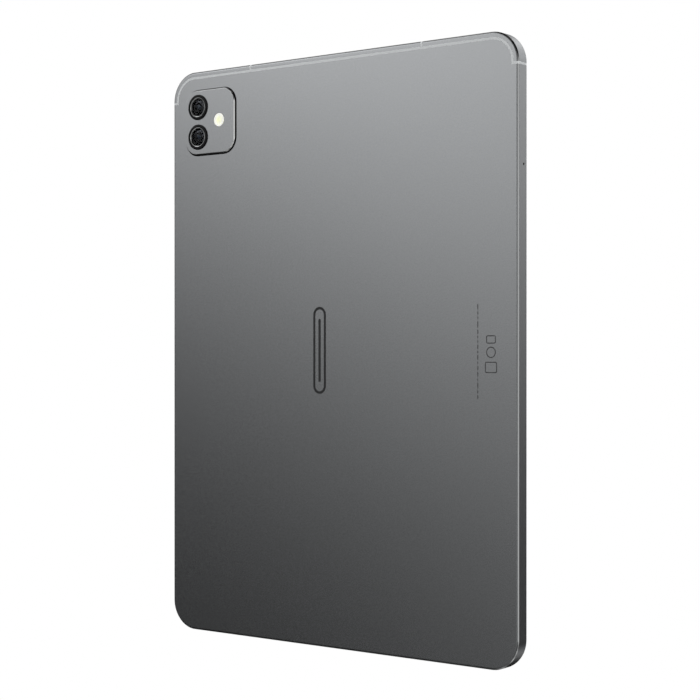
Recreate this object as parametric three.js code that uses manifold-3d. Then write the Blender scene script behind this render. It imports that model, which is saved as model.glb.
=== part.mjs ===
// Tablet computer, 11.6-inch class, standing upright on its short bottom edge.
// Frame: millimetres, +Z up along the long side, +Y towards the screen, -Y towards the back
// with its camera island, +X to the right as seen from behind. Origin: centre of the bottom edge.
import * as THREE from 'three';
import { mergeVertices } from 'three/addons/utils/BufferGeometryUtils.js';
import Module from 'manifold-3d';

const wasm = await Module();
wasm.setup();

// ---------------------------------------------------------------- driving dimensions
const W = 187.8;              // width across the two long sides
const H = 258.0;              // height
const T = 7.4;                // thickness without the camera island
const R = 12.8;               // outline corner radius
const YB = -T / 2;            // back face
const YF = T / 2;             // screen face
const CHAMFER = 0.65;         // polished chamfer round the back edge
const ROUND = 1.3;            // rounding of the side walls towards the screen
const RIM_Y = YF - 0.2;       // front rim of the side walls
const SEG = 8;                // segments in a quarter circle of the outline

const BACK_T = 0.9;           // back plate thickness
const WALL = 2.6;             // side wall thickness behind the glass ledge
const POCKET = 1.6;           // inset of the glass pocket
const LEDGE_Y = 2.7;          // ledge that carries the glass

const INLAY_A = 2.25;         // antenna line: inset of its outer side
const INLAY_B = 3.25;         // antenna line: inset of its inner side
const INLAY_DROP = 13.7;      // centre of the crossing of each side wall, below the top
const BREAK_X = 46.8;         // centre of each break of the band
const LINE_W = 1.0;           // width of the plastic lines
const GAP = 0.05;             // gap between bonded pieces

const ISLAND = { x: -70.6, z: 129 + 105.4, w: 30.0, h: 29.6, r: 7.0, rise: 0.9 };
const LENS_X = -77.6;
const LENS_Z = [129 + 112.38, 129 + 98.64];
const RING_R = 5.85;          // outer radius of a lens ring
const RING_RISE = 0.5;        // ring above the island
const GLASS_R = 4.75;         // lens cover glass
const FLASH = { x: -64.9, z: 129 + 105.65, r: 3.0 };

const GRILLE_X = 36, GRILLE_L = 17, GRILLE_T = 1.5;   // speaker slots, top and bottom
const PORT = { w: 9.0, t: 3.2, y: -0.35, depth: 8.2 };
const POWER = { x: -66, l: 13.0, t: 2.2, proud: 0.35, travel: 0.3 };
const ROCKER = { z: 213, l: 22.0, t: 2.2, proud: 0.35 };
const TRAY = { z: 28, l: 16.0, t: 1.4, y: -0.4, depth: 24.6 };
const LEVER = { x: 27.2, z: 6.2, half: 0.8 };   // eject lever: face, pivot height above the tray's axis
const EJECT_Z = 40.2;         // pin hole above the tray
const MIC_Z = 129 + 75.06, MIC_Y = 0.45;

// ---------------------------------------------------------------- helpers
function toSolid(geo) {
  const g = geo.clone();
  g.deleteAttribute('normal');
  g.deleteAttribute('uv');
  const m = mergeVertices(g, 1e-5);
  return new wasm.Manifold(new wasm.Mesh({
    numProp: 3,
    vertProperties: new Float32Array(m.attributes.position.array),
    triVerts: new Uint32Array(m.index.array),
  }));
}
function toGeo(solid) {
  const m = solid.getMesh();
  const g = new THREE.BufferGeometry();
  g.setAttribute('position', new THREE.BufferAttribute(new Float32Array(m.vertProperties), 3));
  g.setIndex(Array.from(m.triVerts));
  g.computeVertexNormals();
  return g;
}
const cut = (a, ...bs) => bs.reduce((s, b) => s.subtract(b), a);
const join = (a, ...bs) => bs.reduce((s, b) => s.add(b), a);

// box from its low and high corner
function boxGeo(lo, hi) {
  const g = new THREE.BoxGeometry(hi[0] - lo[0], hi[1] - lo[1], hi[2] - lo[2]);
  g.translate((lo[0] + hi[0]) / 2, (lo[1] + hi[1]) / 2, (lo[2] + hi[2]) / 2);
  return g;
}
const box = (lo, hi) => toSolid(boxGeo(lo, hi));

// rounded rectangle as a shape, centred on cx, cz
function roundedShape(w, h, r, cx = 0, cz = 0, seg = SEG) {
  const pts = [];
  const corners = [[w / 2 - r, h / 2 - r, 0], [-w / 2 + r, h / 2 - r, 1], [-w / 2 + r, -h / 2 + r, 2], [w / 2 - r, -h / 2 + r, 3]];
  for (const [x, z, q] of corners) {
    for (let i = 0; i <= seg; i++) {
      const a = (q + i / seg) * Math.PI / 2;
      pts.push(new THREE.Vector2(cx + x + r * Math.cos(a), cz + z + r * Math.sin(a)));
    }
  }
  return new THREE.Shape(pts);
}
// a shape drawn in x and z, extruded from y0 to y1
function plateGeo(shape, y0, y1, bevel = 0, segs = 1) {
  const g = new THREE.ExtrudeGeometry(shape, {
    depth: y1 - y0 - 2 * bevel, bevelEnabled: bevel > 0, bevelThickness: bevel, bevelSize: bevel,
    bevelOffset: -bevel, bevelSegments: segs, curveSegments: 12,
  });
  g.rotateX(Math.PI / 2);
  g.translate(0, y1 - bevel, 0);
  return g;
}
const plate = (shape, y0, y1, bevel, segs) => toSolid(plateGeo(shape, y0, y1, bevel, segs));
// the tablet's outline, inset by d
const outline = (d) => roundedShape(W - 2 * d, H - 2 * d, R - d, 0, H / 2);
// round disc or rod along y
function rodY(x, z, r, y0, y1, n = 24) {
  const g = new THREE.CylinderGeometry(r, r, y1 - y0, n);
  g.translate(x, (y0 + y1) / 2, z);
  return toSolid(g);
}
// rod along x
function rodX(y, z, r, x0, x1, n = 12) {
  const g = new THREE.CylinderGeometry(r, r, x1 - x0, n);
  g.rotateZ(Math.PI / 2);
  g.translate((x0 + x1) / 2, y, z);
  return toSolid(g);
}
// rod along z
function rodZ(x, y, r, z0, z1, n = 12) {
  const g = new THREE.CylinderGeometry(r, r, z1 - z0, n);
  g.rotateX(Math.PI / 2);
  g.translate(x, y, (z0 + z1) / 2);
  return toSolid(g);
}
// slot with round ends that runs through a wall: long axis x, thickness y, extruded along z
function slotZ(x, y, l, t, z0, z1, seg = 4) {
  const g = new THREE.ExtrudeGeometry(roundedShape(l, t, t / 2 - 0.01, x, y, seg), { depth: z1 - z0, bevelEnabled: false });
  g.translate(0, 0, z0);
  return toSolid(g);
}
// the same along x: long axis z, thickness y
function slotX(z, y, l, t, x0, x1, seg = 4) {
  const g = new THREE.ExtrudeGeometry(roundedShape(t, l, t / 2 - 0.01, 0, 0, seg), { depth: x1 - x0, bevelEnabled: false });
  // shape x -> y, shape y -> z, depth -> x
  g.applyMatrix4(new THREE.Matrix4().set(0, 0, 1, x0, 1, 0, 0, y, 0, 1, 0, z, 0, 0, 0, 1));
  return toSolid(g);
}

const tablet = new THREE.Group();
function add(parent, name, solid, color, roughness, metalness) {
  const geo = solid.isBufferGeometry ? solid : toGeo(solid);
  const mesh = new THREE.Mesh(geo, new THREE.MeshStandardMaterial({ color, roughness, metalness }));
  mesh.name = name;
  parent.add(mesh);
  return mesh;
}
const GREY = 0x6c6e70, LIGHTGREY = 0x8f9192, BLACK = 0x0b0b0d, STEEL = 0xa8a9ab, BOARD = 0x12361f, DARK = 0x202124;

// ---------------------------------------------------------------- the outer body
// one block with the polished chamfer behind and the rounded front, cut by the glass pocket
const chamfered = plate(outline(0), YB, YF + 3, CHAMFER, 1);
const rounded = plate(outline(0), YB - 3, RIM_Y, ROUND, 4);
const block = chamfered.intersect(rounded);
const body = cut(block, plate(outline(POCKET), LEDGE_Y, YF + 2));

// regions of the top strip, measured as insets of the outline
const above = (z) => box([-W, -20, z], [W, 20, H + 20]);
const zSide = H - INLAY_DROP;
const inside = (d) => plate(outline(d), -20, 20);
const cavity = plate(outline(WALL), YB + BACK_T, LEDGE_Y + 0.5);

// cutters shared by several pieces
const powerSlot = slotZ(POWER.x, 0, POWER.l + 0.3, POWER.t + 0.3, H - 6, H + 2);
const rockerSlot = slotX(ROCKER.z, 0, ROCKER.l + 0.3, ROCKER.t + 0.3, -W / 2 - 2, -W / 2 + 6);
const traySlot = slotX(TRAY.z, TRAY.y, TRAY.l + 0.3, TRAY.t + 0.3, -W / 2 - 2, -W / 2 + 6);
const grilles = [];
for (const sx of [-1, 1]) {
  grilles.push(slotZ(sx * GRILLE_X, 0, GRILLE_L, GRILLE_T, H - 6, H + 2));
  grilles.push(slotZ(sx * GRILLE_X, 0, GRILLE_L, GRILLE_T, -2, 6));
}
const portSlot = slotZ(0, PORT.y, PORT.w + 0.3, PORT.t + 0.3, -2, 6, 6);

// ---------------------------------------------------------------- rear housing
const strip = cut(above(zSide - LINE_W / 2), inside(INLAY_B + GAP));
const islandHole = plate(roundedShape(ISLAND.w - 3, ISLAND.h - 3, ISLAND.r - 1.5, ISLAND.x, ISLAND.z, 5), YB - 1, YB + 2);
let housing = cut(body, cavity, strip, islandHole, rockerSlot, traySlot, portSlot, grilles[1], grilles[3],
  rodX(MIC_Y, MIC_Z, 0.5, W / 2 - 5, W / 2 + 2, 10),
  rodX(TRAY.y, EJECT_Z, 0.55, -W / 2 - 2, -W / 2 + 6, 10));
// pivot post of the eject lever
housing = housing.add(rodY(-W / 2 + LEVER.x, TRAY.z + LEVER.z, 0.5, YB + 0.2, TRAY.y + 0.6, 12));
// bosses for the board screws, standing on the back plate
const SCREWS = [[-50, 207], [20, 207], [80, 207], [80, 239], [-20, 26], [20, 26]];
const BOSS_TOP = -1.45;
for (const [x, z] of SCREWS) housing = housing.add(rodY(x, z, 1.9, YB + 0.2, BOSS_TOP, 12)).subtract(rodY(x, z, 0.85, YB + 0.5, 2, 10));
add(tablet, 'rear_housing', housing, GREY, 0.42, 0.85);

// ---------------------------------------------------------------- antenna line and band
const bandZone = cut(above(zSide + LINE_W / 2 + GAP), inside(INLAY_A));
const breakCut = (sx) => box([sx * BREAK_X - LINE_W / 2 - GAP, -20, H - 8], [sx * BREAK_X + LINE_W / 2 + GAP, 20, H + 5]);
const bandAll = cut(body.intersect(bandZone), breakCut(-1), breakCut(1), powerSlot, grilles[0], grilles[2]);
const left = box([-W, -20, 0], [-BREAK_X, 20, H + 5]);
const right = box([BREAK_X, -20, 0], [W, 20, H + 5]);
add(tablet, 'antenna_band_left', bandAll.intersect(left), GREY, 0.42, 0.85);
add(tablet, 'antenna_band_center', cut(bandAll, left, right), GREY, 0.42, 0.85);
add(tablet, 'antenna_band_right', bandAll.intersect(right), GREY, 0.42, 0.85);

const uZone = cut(above(zSide - LINE_W / 2 + GAP), inside(INLAY_B)).subtract(cut(above(zSide + LINE_W / 2), inside(INLAY_A + GAP)));
const stub = (sx) => box([sx * BREAK_X - LINE_W / 2, -20, H - INLAY_A - 0.6], [sx * BREAK_X + LINE_W / 2, 20, H + 5]);
const inlay = cut(body.intersect(join(uZone, stub(-1), stub(1))), powerSlot, grilles[0], grilles[2]);
add(tablet, 'antenna_inlay', inlay, LIGHTGREY, 0.55, 0.0);

// ---------------------------------------------------------------- camera island
const camera = new THREE.Group();
camera.position.set(ISLAND.x, YB, ISLAND.z);
tablet.add(camera);
// pieces below are drawn about the island's centre, with y = 0 on the tablet's back face
const lx = LENS_X - ISLAND.x, lz = LENS_Z.map((z) => z - ISLAND.z), fx = FLASH.x - ISLAND.x, fz = FLASH.z - ISLAND.z;
const LENS_BORE = GLASS_R + 0.1;
let island = plate(roundedShape(ISLAND.w, ISLAND.h, ISLAND.r, 0, 0, 6), -ISLAND.rise, ISLAND.rise, 0.35)
  .intersect(box([-20, -5, -20], [20, -GAP, 20]))
  .add(plate(roundedShape(ISLAND.w - 3.2, ISLAND.h - 3.2, ISLAND.r - 1.6, 0, 0, 5), -0.3, BACK_T - 0.05));
island = cut(island, rodY(lx, lz[0], LENS_BORE, -3, 3), rodY(lx, lz[1], LENS_BORE, -3, 3), rodY(fx, fz, FLASH.r + 0.1, -3, 3));
add(camera, 'camera_island', island, GREY, 0.4, 0.85);
['upper', 'lower'].forEach((n, i) => {
  // ring: a proud collar on the island with a neck inside the bore
  const ring = cut(rodY(lx, lz[i], RING_R, -ISLAND.rise - RING_RISE, -ISLAND.rise - 0.03),
    rodY(lx, lz[i], GLASS_R - 0.35, -5, 3));
  const seat = rodY(lx, lz[i], GLASS_R + 0.02, -ISLAND.rise - RING_RISE + 0.08, 3);
  add(camera, `camera_ring_${n}`, cut(ring, seat), BLACK, 0.25, 0.6);
  add(camera, `camera_glass_${n}`, rodY(lx, lz[i], GLASS_R - 0.05, -ISLAND.rise - RING_RISE + 0.15, -ISLAND.rise + 0.25), 0x08090c, 0.05, 0.0);
  const module = join(rodY(lx, lz[i], 3.9, -0.55, 1.6), box([lx - 4.9, 1.5, lz[i] - 4.9], [lx + 4.9, 4.4, lz[i] + 4.9]));
  add(camera, `camera_module_${n}`, module, BLACK, 0.4, 0.2);
});
add(camera, 'flash_lens', rodY(fx, fz, FLASH.r, -ISLAND.rise - 0.02, -0.15), 0xfffbe6, 0.3, 0.0);
add(camera, 'flash_led', join(box([fx - 1.6, 0.0, fz - 1.6], [fx + 1.6, 0.95, fz + 1.6]), box([fx - 3, 0.9, fz - 4], [fx + 3, 1.2, fz + 4])), 0xf2d25a, 0.5, 0.0);
// bracket: a pressed plate over both modules
add(camera, 'camera_bracket', boxGeo([lx - 6.2, 4.45, lz[1] - 6.2], [lx + 6.2, 4.65, lz[0] + 6.2]), STEEL, 0.35, 0.9);

// ---------------------------------------------------------------- display stack
const glassShape = roundedShape(W - 2 * POCKET - 0.3, H - 2 * POCKET - 0.3, R - POCKET - 0.15, 0, H / 2);
const glassBody = plate(glassShape, LEDGE_Y - 0.6, YF, 0.25).intersect(box([-W, LEDGE_Y + 0.2, -5], [W, 9, H + 5]));
add(tablet, 'cover_glass', glassBody, 0x050506, 0.05, 0.0);
const gasket = cut(plate(outline(POCKET + 0.2), LEDGE_Y + 0.02, LEDGE_Y + 0.18), inside(WALL + 0.6));
add(tablet, 'display_gasket', gasket, DARK, 0.8, 0.0);
const LCD_W = 175.4, LCD_H = 245.0;
add(tablet, 'lcd_panel', boxGeo([-LCD_W / 2, 2.12, H / 2 - LCD_H / 2], [LCD_W / 2, 2.66, H / 2 + LCD_H / 2]), 0x15161a, 0.2, 0.0);
add(tablet, 'backlight', boxGeo([-LCD_W / 2, 1.45, H / 2 - LCD_H / 2], [LCD_W / 2, 2.07, H / 2 + LCD_H / 2]), 0xe8eaec, 0.5, 0.0);
const FCAM = { x: -89.45, z: 129 };
const mid = cut(plate(outline(INLAY_B + 0.4), 1.02, 1.36),
  box([FCAM.x - 3, 0, FCAM.z - 3.2], [FCAM.x + 2.1, 2, FCAM.z + 3.2]), box([24, 0, 198], [64, 2, 203]), box([-5.2, 0, 0], [5.2, 2, 9.6]),
  box([POWER.x - 8, 0, H - 5.9], [POWER.x + 8, 2, H]), box([-W / 2, 0, ROCKER.z - 12.5], [-W / 2 + 4.2, 2, ROCKER.z + 12.5]));
add(tablet, 'mid_plate', mid, STEEL, 0.45, 0.8);
add(tablet, 'front_camera', join(box([FCAM.x - 1.8, -1.0, FCAM.z - 2.6], [FCAM.x + 1.6, 2.0, FCAM.z + 2.6]), rodY(FCAM.x, FCAM.z, 1.2, 1.9, 2.6, 16)), BLACK, 0.3, 0.1);

// ---------------------------------------------------------------- battery
add(tablet, 'battery_cell_left', boxGeo([-85, -2.6, 46], [-5, 0.7, 194]), 0x2a2b2e, 0.5, 0.1);
add(tablet, 'battery_cell_right', boxGeo([5, -2.6, 46], [85, 0.7, 194]), 0x2a2b2e, 0.5, 0.1);
add(tablet, 'battery_board', boxGeo([-60, -1.2, 194.6], [60, -0.4, 200]), BOARD, 0.6, 0.0);

// ---------------------------------------------------------------- boards
const electronics = new THREE.Group();
tablet.add(electronics);
const PCB_Y0 = -1.4, PCB_Y1 = -0.6;
let board = box([-62, PCB_Y0, 203], [86, PCB_Y1, 243]);
for (const [x, z] of SCREWS.slice(0, 4)) board = board.subtract(rodY(x, z, 1.15, -3, 3, 12));
add(electronics, 'main_board', board, BOARD, 0.6, 0.0);
add(electronics, 'processor_shield', boxGeo([-16, -2.6, 212], [14, -1.45, 240]), STEEL, 0.35, 0.9);
add(electronics, 'power_shield', boxGeo([-46, -2.6, 212], [-20, -1.45, 240]), STEEL, 0.35, 0.9);
add(electronics, 'radio_shield', boxGeo([30, -2.6, 212], [72, -1.45, 236]), STEEL, 0.35, 0.9);
let sub = box([-24, PCB_Y0, PORT.depth + 1.0], [24, PCB_Y1, 31]);
for (const [x, z] of SCREWS.slice(4)) sub = sub.subtract(rodY(x, z, 1.15, -3, 3, 12));
add(electronics, 'sub_board', sub, BOARD, 0.6, 0.0);
// one pan-head screw in each boss
SCREWS.forEach(([x, z], i) => {
  add(electronics, `board_screw_${i + 1}`, join(rodY(x, z, 0.75, YB + 0.8, PCB_Y1 + 0.25, 10), rodY(x, z, 1.5, PCB_Y1 + 0.08, PCB_Y1 + 0.7, 12)), STEEL, 0.3, 0.9);
});
// ribbon between the boards, in the channel between the cells, with a connector block at each end
add(electronics, 'main_flex', join(box([-4, -2.7, 22], [4, -2.5, 209]), box([-4, -2.6, 22], [4, -1.5, 25]), box([-4, -2.6, 205], [4, -1.5, 209])), 0xc06a1c, 0.5, 0.0);
// ribbon from the panel's edge, round the mid plate, to the board
add(electronics, 'display_flex', join(box([30, 1.12, 198.6], [58, 1.34, 202.4]), box([30, -0.55, 202.2], [58, 1.34, 202.4]), box([30, -0.55, 202.2], [58, -0.35, 210])), 0xc06a1c, 0.5, 0.0);

// ---------------------------------------------------------------- port
const port = new THREE.Group();
port.position.set(0, PORT.y, 0.25);
tablet.add(port);
// drawn about the port's axis, mouth at z = 0
const shellOuter = slotZ(0, 0, PORT.w, PORT.t, 0, PORT.depth, 6);
const shellInner = slotZ(0, 0, PORT.w - 0.6, PORT.t - 0.6, -1, PORT.depth - 1.2, 6);
add(port, 'usb_shell', cut(shellOuter, shellInner), STEEL, 0.25, 1.0);
add(port, 'usb_tongue', boxGeo([-3.35, -0.35, 1.6], [3.35, 0.35, PORT.depth - 1.25]), BLACK, 0.5, 0.0);

// ---------------------------------------------------------------- speakers
const sideNames = { '-1': 'left', 1: 'right' };
for (const sx of [-1, 1]) {
  const x0 = sx * GRILLE_X - 10, x1 = sx * GRILLE_X + 10, n = sideNames[sx];
  const c = sx * GRILLE_X;
  // each box has a mouth against the slot
  add(tablet, `speaker_top_${n}`, cut(box([x0, -2.6, 244], [x1, 0.9, H - INLAY_B - 0.3]), box([c - 7.5, -0.6, 249], [c + 7.5, 0.6, H])), DARK, 0.6, 0.0);
  add(tablet, `speaker_bottom_${n}`, cut(box([x0, -2.6, WALL + 0.3], [x1, 0.9, 13.5]), box([c - 7.5, -0.6, 0], [c + 7.5, 0.6, 8])), DARK, 0.6, 0.0);
  add(tablet, `speaker_mesh_top_${n}`, slotZ(c, 0, GRILLE_L - 0.3, GRILLE_T - 0.3, H - 1.6, H - 1.2), DARK, 0.6, 0.3);
  add(tablet, `speaker_mesh_bottom_${n}`, slotZ(c, 0, GRILLE_L - 0.3, GRILLE_T - 0.3, 1.2, 1.6), DARK, 0.6, 0.3);
}
add(tablet, 'side_microphone', boxGeo([W / 2 - WALL - 1.5, MIC_Y - 1.4, MIC_Z - 1.9], [W / 2 - WALL - 0.2, MIC_Y + 0.5, MIC_Z + 1.9]), STEEL, 0.4, 0.8);

// ---------------------------------------------------------------- power button, pressed along -Z
const power = new THREE.Group();
power.position.set(POWER.x, 0, H);
tablet.add(power);
// drawn with z = 0 on the tablet's top edge
const capZ0 = -INLAY_B - 0.75;
const powerCap = join(slotZ(0, 0, POWER.l, POWER.t, capZ0, POWER.proud),
  box([-POWER.l / 2 - 0.9, -1.25, capZ0 - 0.3], [POWER.l / 2 + 0.9, 0.9, capZ0 + 0.3]));
add(power, 'power_button', powerCap, GREY, 0.4, 0.85);
add(power, 'power_switch', join(box([-2.2, -1.3, capZ0 - 1.6], [2.2, 0.9, capZ0 - 1.1]), rodZ(0, 0, 1.0, capZ0 - 1.2, capZ0 - 0.3 - POWER.travel - 0.05)), STEEL, 0.3, 0.9);

// ---------------------------------------------------------------- volume rocker, tilts about a Y axis through its middle
const rocker = new THREE.Group();
rocker.position.set(-W / 2, 0, ROCKER.z);
tablet.add(rocker);
// drawn with x = 0 on the side wall's outer face
const fl = WALL + 0.4;
add(rocker, 'volume_rocker', join(slotX(0, 0, ROCKER.l, ROCKER.t, -ROCKER.proud, fl + 0.1),
  box([fl, -1.25, -ROCKER.l / 2 - 0.9], [fl + 0.5, 0.9, ROCKER.l / 2 + 0.9])), GREY, 0.4, 0.85);
for (const [n, s] of [['up', 1], ['down', -1]]) {
  add(rocker, `volume_switch_${n}`, join(box([fl + 1.3, -1.3, s * 7.5 - 2.2], [fl + 1.8, 0.9, s * 7.5 + 2.2]), rodX(0, s * 7.5, 1.0, fl + 0.75, fl + 1.4)), STEEL, 0.3, 0.9);
}
// key flex: a ribbon behind the rocker's switches that turns along the top to the power switch
const kx = -W / 2 + fl + 1.9;
add(tablet, 'key_flex', join(
  box([kx, -1.3, ROCKER.z - 11], [kx + 0.2, 1.0 - 0.1, H - 8.2]),
  box([kx, -1.3, H - 8.4], [POWER.x + 3, 0.9, H - 8.2]),
  box([POWER.x - 3, -1.3, H - 8.4], [POWER.x + 3, 0.9, H + capZ0 - 1.65])), 0xc06a1c, 0.5, 0.0);

// ---------------------------------------------------------------- card tray, slides out along -X
const card = new THREE.Group();
card.position.set(-W / 2, TRAY.y, TRAY.z);
tablet.add(card);
// drawn with x = 0 on the side wall's outer face, x into the tablet
let tray = join(slotX(0, 0, TRAY.l, TRAY.t, 0, 2.0), box([1.9, -0.5, -6.8], [TRAY.depth, 0.5, 6.8]));
tray = cut(tray, box([6.0, -0.15, -4.6], [6.0 + 12.6, 2, 4.6]));   // bed for the card
add(card, 'card_tray', tray, GREY, 0.4, 0.85);
add(card, 'nano_card', boxGeo([6.15, -0.1, -4.4], [6.15 + 12.3, 0.45, 4.4]), 0xe9e9e4, 0.5, 0.0);
// soft ring round the tray's head, in a groove's place just behind it
const gasketOut = slotX(0, 0, 14.6, 1.6, 2.15, 2.55);
add(card, 'tray_gasket', cut(gasketOut, box([1, -0.52, -6.85], [4, 0.52, 6.85])), 0x9a2f2a, 0.7, 0.0);
// reader: a pressed cage round the tray's path, open at both ends
const reader = cut(box([4.2, -1.1, -8.4], [25.6, 1.25, 8.4]), box([3, -0.75, -7.4], [27, 0.9, 7.4]));
add(card, 'card_reader', reader, STEEL, 0.35, 0.9);
// eject rod and lever beside the cage: the rod is pushed in, the lever turns the other way
const ez = EJECT_Z - TRAY.z;
const rod = join(rodX(0, ez, 0.5, 1.0, LEVER.x - LEVER.half - 0.1, 8), rodX(0, ez, 0.85, WALL + 0.6, WALL + 1.4, 10));
add(card, 'eject_rod', rod, STEEL, 0.3, 0.9);
const leverBar = box([LEVER.x - LEVER.half, -0.4, -1.0], [LEVER.x + LEVER.half, 0.4, ez + 0.7]);
add(card, 'eject_lever', cut(leverBar, rodY(LEVER.x, LEVER.z, 0.6, -2, 2, 12)), STEEL, 0.3, 0.9);

export default tablet;
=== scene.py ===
import bpy
import bmesh
import math
import random
from mathutils import Vector, Matrix


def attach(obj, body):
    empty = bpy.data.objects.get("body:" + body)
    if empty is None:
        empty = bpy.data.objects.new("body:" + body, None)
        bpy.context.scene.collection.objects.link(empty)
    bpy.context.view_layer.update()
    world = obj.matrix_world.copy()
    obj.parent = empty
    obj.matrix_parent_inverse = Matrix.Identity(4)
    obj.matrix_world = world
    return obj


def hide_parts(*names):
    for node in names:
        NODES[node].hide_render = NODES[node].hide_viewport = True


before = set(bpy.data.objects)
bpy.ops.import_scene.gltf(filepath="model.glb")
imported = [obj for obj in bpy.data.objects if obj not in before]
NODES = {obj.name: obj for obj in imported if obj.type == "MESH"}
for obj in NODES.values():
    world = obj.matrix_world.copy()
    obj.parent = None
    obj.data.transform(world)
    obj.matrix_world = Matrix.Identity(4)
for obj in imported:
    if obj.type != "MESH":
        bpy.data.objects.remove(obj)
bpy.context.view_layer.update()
ROOT = "tablet"
random.seed(7)

# ------------------------------------------------------------------ sizes, in mm, as the CAD has them
W, H, T, R = 187.8, 258.0, 7.4, 12.8
YB, YF = -T / 2, T / 2
CH = 0.65
ROUND = 1.3
RIM = YF - 0.2
BACK_T, WALL, POCKET, LEDGE = 0.9, 2.6, 1.6, 2.7
IN_A, IN_B, LINE = 2.25, 3.25, 1.0
ZS = H - 13.7
BRK = 46.8
ISL = dict(x=-70.6, z=234.4, w=30.0, h=29.6, r=7.0, rise=0.9)
LENS_X, LENS_Z = -77.6, (241.38, 227.64)
RING_R, RING_RISE = 5.85, 0.5
FLASH = dict(x=-64.9, z=234.65, r=3.0)
GX, GL, GT = 36.0, 17.0, 1.5
PORT = dict(w=9.0, t=3.2, y=-0.35, depth=8.2)
POWER = dict(x=-66.0, l=13.0, t=2.2, proud=0.35)
ROCK = dict(z=213.0, l=22.0, t=2.2, proud=0.35)
TRAY = dict(z=28.0, l=16.0, t=1.4, y=-0.4, depth=24.6)
EJ_Z = 40.2
MIC_Z, MIC_Y = 204.06, 0.45
MM = 0.001


# ------------------------------------------------------------------ mesh helpers
def link(o):
    bpy.context.scene.collection.objects.link(o)
    return o


def build(name, verts, faces, mats=(), fmat=None):
    me = bpy.data.meshes.new(name)
    me.from_pydata([tuple(c * MM for c in v) for v in verts], [], faces)
    for m in mats:
        me.materials.append(m)
    if fmat:
        for p, i in zip(me.polygons, fmat):
            p.material_index = i
    bm = bmesh.new()
    bm.from_mesh(me)
    bmesh.ops.remove_doubles(bm, verts=bm.verts, dist=1e-7)
    bmesh.ops.recalc_face_normals(bm, faces=bm.faces)
    bm.to_mesh(me)
    bm.free()
    return link(bpy.data.objects.new(name, me))


def rrect(w, h, r, cx=0.0, cz=0.0, n=24):
    r = max(r, 0.001)
    pts = []
    for k, (sx, sz) in enumerate(((1, 1), (-1, 1), (-1, -1), (1, -1))):
        for i in range(n + 1):
            a = (k + i / n) * math.pi / 2
            pts.append((cx + sx * (w / 2 - r) + r * math.cos(a), cz + sz * (h / 2 - r) + r * math.sin(a)))
    return pts


def outline(d, n=24):
    return rrect(W - 2 * d, H - 2 * d, R - d, 0, H / 2, n)


def loft(name, rings, mats=(), rmat=None, cap=(0, 0)):
    """A closed solid through rings of 3-D points with one count. rmat gives a material index for each band."""
    n = len(rings[0])
    verts = [p for r in rings for p in r]
    faces, fm = [], []
    for i in range(len(rings) - 1):
        for j in range(n):
            k = (j + 1) % n
            faces.append((i * n + j, i * n + k, (i + 1) * n + k, (i + 1) * n + j))
            fm.append(rmat[i] if rmat else 0)
    faces.append(tuple(range(n)))
    fm.append(cap[0])
    faces.append(tuple((len(rings) - 1) * n + j for j in range(n)))
    fm.append(cap[1])
    return build(name, verts, faces, mats, fm)


def plate(name, prof, mats=(), rmat=None, cap=(0, 0), shape=outline, n=24):
    """prof is a list of (inset, y); shape(inset, n) gives the outline in x and z."""
    return loft(name, [[(x, y, z) for x, z in shape(d, n)] for d, y in prof], mats, rmat, cap)


def prism(name, pts, y0, y1, mats=(), idx=0):
    return loft(name, [[(x, y0, z) for x, z in pts], [(x, y1, z) for x, z in pts]], mats, [idx], (idx, idx))


def boxo(name, lo, hi, mats=(), idx=0):
    return prism(name, [(lo[0], lo[2]), (hi[0], lo[2]), (hi[0], hi[2]), (lo[0], hi[2])], lo[1], hi[1], mats, idx)


def stadium(l, t, d=0.0, n=10):
    """points (u, v) of a slot with round ends, grown by d"""
    l, t = l + 2 * d, t + 2 * d
    r = t / 2
    pts = []
    for i in range(n + 1):
        a = -math.pi / 2 + math.pi * i / n
        pts.append((l / 2 - r + r * math.cos(a), r * math.sin(a)))
    for i in range(n + 1):
        a = math.pi / 2 + math.pi * i / n
        pts.append((-l / 2 + r + r * math.cos(a), r * math.sin(a)))
    return pts


def along(face, cu, cv, l, t, prof, name, mats=(), rmat=None, cap=(0, 0), n=10):
    """A stadium loft square to a face. prof is a list of (grow, level). face 'top', 'bottom': u is x, v is y, level is z.
    face 'left', 'right': u is z, v is y, level is x."""
    rings = []
    for d, lev in prof:
        if face in ("top", "bottom"):
            rings.append([(cu + u, cv + v, lev) for u, v in stadium(l, t, d, n)])
        else:
            rings.append([(lev, cv + v, cu + u) for u, v in stadium(l, t, d, n)])
    return loft(name, rings, mats, rmat, cap)


def lathe(name, x, z, prof, mats=(), rmat=None, n=64):
    """Turned about the y direction through (x, z). prof is a list of (radius, y); radius 0 closes it on the axis, otherwise it closes on itself."""
    verts, faces, fm = [], [], []
    idx = []
    for r, y in prof:
        if r < 1e-6:
            idx.append([len(verts)])
            verts.append((x, y, z))
        else:
            idx.append(list(range(len(verts), len(verts) + n)))
            for j in range(n):
                a = 2 * math.pi * j / n
                verts.append((x + r * math.cos(a), y, z + r * math.sin(a)))
    closed = prof[0][0] > 1e-6
    last = len(prof) if closed else len(prof) - 1
    for i in range(last):
        a, b = idx[i], idx[(i + 1) % len(prof)]
        m = rmat[i] if rmat else 0
        if len(a) == 1 and len(b) == 1:
            continue
        for j in range(n):
            k = (j + 1) % n
            if len(a) == 1:
                faces.append((a[0], b[k], b[j]))
            elif len(b) == 1:
                faces.append((a[j], a[k], b[0]))
            else:
                faces.append((a[j], a[k], b[k], b[j]))
            fm.append(m)
    return build(name, verts, faces, mats, fm)


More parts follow.
